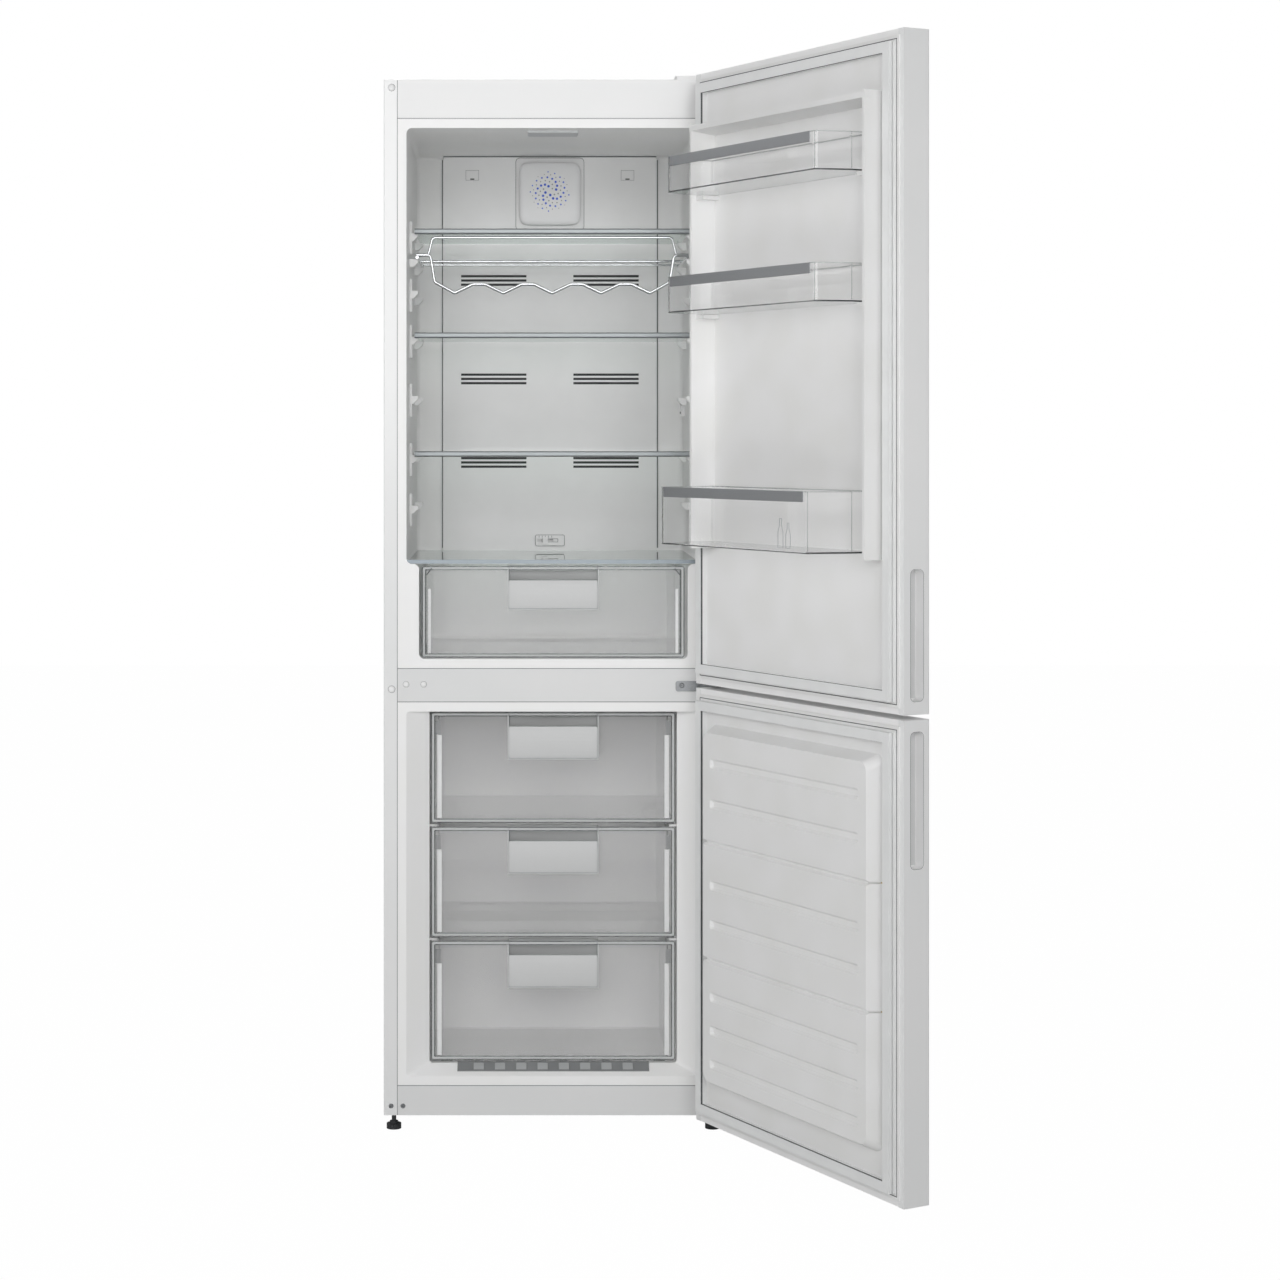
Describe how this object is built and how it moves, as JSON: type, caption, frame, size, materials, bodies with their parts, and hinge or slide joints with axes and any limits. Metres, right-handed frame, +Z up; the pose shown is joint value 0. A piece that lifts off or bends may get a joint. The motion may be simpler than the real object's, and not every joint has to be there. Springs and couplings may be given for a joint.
{
  "type": "bottom freezer refrigerator",
  "caption": "Free-standing white refrigerator with a freezer below, both doors open on their right-hand hinges, with shelves, bins and drawers.",
  "frame": {"origin": "middle of the cabinet's underside, 28.5 mm above the floor", "axes": "+X to the right seen from the front, +Y to the back, +Z up"},
  "size_m": [0.8732, 1.1249, 1.867],
  "materials": {
    "white_steel": "gloss",
    "galvanised": "matte",
    "black_tube": "satin",
    "foam": "matte",
    "white_plastic": "satin",
    "pale_plastic": "satin",
    "lens_plastic": "satin",
    "glass": "polished",
    "chrome_wire": "polished",
    "satin_trim": "satin",
    "clear_plastic": "gloss",
    "dark_plastic": "satin",
    "fin_metal": "satin",
    "black_steel": "satin",
    "black_rubber": "matte",
    "hinge_steel": "satin",
    "gasket": "matte"
  },
  "bodies": {
    "cabinet": {"side_panel_left": "white_steel", "side_panel_right": "white_steel", "top_panel": "white_steel", "back_panel": "galvanised", "front_rails": "white_steel", "base_plate": "galvanised", "condenser": "black_tube", "insulation_foam": "foam", "fridge_liner": "white_plastic", "freezer_liner": "white_plastic", "air_duct_cover": "white_plastic", "fan_cover": "pale_plastic", "ceiling_lamp": "lens_plastic", "crisper_lid": "glass", "lower_air_grille": "dark_plastic", "evaporator_cover": "white_plastic", "evaporator": "fin_metal", "fan_motor": "dark_plastic", "compressor": "black_steel", "drip_tray": "dark_plastic", "cord_inlet": "black_rubber", "top_hinge": "hinge_steel", "top_hinge_cover": "white_plastic", "middle_hinge": "hinge_steel", "bottom_hinge": "hinge_steel", "hinge_screws": "hinge_steel", "plug_caps": "white_plastic"},
    "fridge_door": {"fridge_door_skin": "white_steel", "fridge_door_foam": "foam", "fridge_door_liner": "white_plastic", "fridge_door_gasket": "gasket", "fridge_door_caps": "white_plastic"},
    "freezer_door": {"freezer_door_skin": "white_steel", "freezer_door_foam": "foam", "freezer_door_liner": "white_plastic", "freezer_door_gasket": "gasket", "freezer_door_caps": "white_plastic"},
    "upper_bin": {"door_bin_upper": "clear_plastic", "bin_band_upper": "satin_trim"},
    "middle_bin": {"door_bin_middle": "clear_plastic", "bin_band_middle": "satin_trim"},
    "bottle_bin": {"bottle_bin": "clear_plastic", "bottle_bin_band": "satin_trim"},
    "lower_shelf": {"shelf_glass_lower": "glass", "shelf_trim_lower": "satin_trim"},
    "middle_shelf": {"shelf_glass_middle": "glass", "shelf_trim_middle": "satin_trim"},
    "upper_shelf": {"shelf_glass_upper": "glass", "shelf_trim_upper": "satin_trim"},
    "bottle_rack": {"bottle_rack": "chrome_wire"},
    "crisper_drawer": {"crisper_drawer": "clear_plastic"},
    "lower_freezer_drawer": {"freezer_drawer_lower": "clear_plastic"},
    "middle_freezer_drawer": {"freezer_drawer_middle": "clear_plastic"},
    "upper_freezer_drawer": {"freezer_drawer_upper": "clear_plastic"},
    "damper": {"damper_knob": "pale_plastic"},
    "evaporator_fan": {"evaporator_fan": "dark_plastic"},
    "left_foot": {"foot_left": "dark_plastic"},
    "right_foot": {"foot_right": "dark_plastic"},
    "left_roller": {"roller_left": "dark_plastic"},
    "right_roller": {"roller_right": "dark_plastic"}
  },
  "joints": [
    {"name": "fridge_door_hinge", "type": "hinge", "parent": "cabinet", "child": "fridge_door", "pos_m": [0.288, -0.3225, 1.2715], "axis": [0, 0, 1], "range_deg": [-118.3, 0]},
    {"name": "freezer_door_hinge", "type": "hinge", "parent": "cabinet", "child": "freezer_door", "pos_m": [0.288, -0.3225, 0.3715], "axis": [0, 0, 1], "range_deg": [-118.3, 0]},
    {"name": "damper_slide", "type": "slide", "parent": "cabinet", "child": "damper", "axis": [1, 0, 0], "range_m": [-0.012, 0.012]},
    {"name": "fan_spin", "type": "hinge", "parent": "cabinet", "child": "evaporator_fan", "pos_m": [0, 0.121, 0.653], "axis": [0, 1, 0], "continuous": true},
    {"name": "bottle_rack_slide", "type": "slide", "parent": "cabinet", "child": "bottle_rack", "axis": [0, -1, 0], "range_m": [0, 0.15]},
    {"name": "crisper_drawer_slide", "type": "slide", "parent": "cabinet", "child": "crisper_drawer", "axis": [0, -1, 0], "range_m": [0, 0.3]},
    {"name": "lower_shelf_slide", "type": "slide", "parent": "cabinet", "child": "lower_shelf", "axis": [0, -1, 0], "range_m": [0, 0.17]},
    {"name": "middle_shelf_slide", "type": "slide", "parent": "cabinet", "child": "middle_shelf", "axis": [0, -1, 0], "range_m": [0, 0.17]},
    {"name": "upper_shelf_slide", "type": "slide", "parent": "cabinet", "child": "upper_shelf", "axis": [0, -1, 0], "range_m": [0, 0.17]},
    {"name": "lower_freezer_drawer_slide", "type": "slide", "parent": "cabinet", "child": "lower_freezer_drawer", "axis": [0, -1, 0], "range_m": [0, 0.19]},
    {"name": "middle_freezer_drawer_slide", "type": "slide", "parent": "cabinet", "child": "middle_freezer_drawer", "axis": [0, -1, 0], "range_m": [0, 0.28]},
    {"name": "upper_freezer_drawer_slide", "type": "slide", "parent": "cabinet", "child": "upper_freezer_drawer", "axis": [0, -1, 0], "range_m": [0, 0.28]},
    {"name": "upper_bin_lift", "type": "slide", "parent": "fridge_door", "child": "upper_bin", "axis": [0, 0, 1], "range_m": [0, 0.03]},
    {"name": "middle_bin_lift", "type": "slide", "parent": "fridge_door", "child": "middle_bin", "axis": [0, 0, 1], "range_m": [0, 0.03]},
    {"name": "bottle_bin_lift", "type": "slide", "parent": "fridge_door", "child": "bottle_bin", "axis": [0, 0, 1], "range_m": [0, 0.03]},
    {"name": "left_foot_turn", "type": "hinge", "parent": "cabinet", "child": "left_foot", "pos_m": [-0.283, -0.2435, -0.0185], "axis": [0, 0, 1], "continuous": true},
    {"name": "left_roller_spin", "type": "hinge", "parent": "cabinet", "child": "left_roller", "pos_m": [-0.262, 0.2275, -0.016], "axis": [1, 0, 0], "continuous": true},
    {"name": "right_foot_turn", "type": "hinge", "parent": "cabinet", "child": "right_foot", "pos_m": [0.283, -0.2435, -0.0185], "axis": [0, 0, 1], "continuous": true},
    {"name": "right_roller_spin", "type": "hinge", "parent": "cabinet", "child": "right_roller", "pos_m": [0.262, 0.2275, -0.016], "axis": [1, 0, 0], "continuous": true}
  ]
}
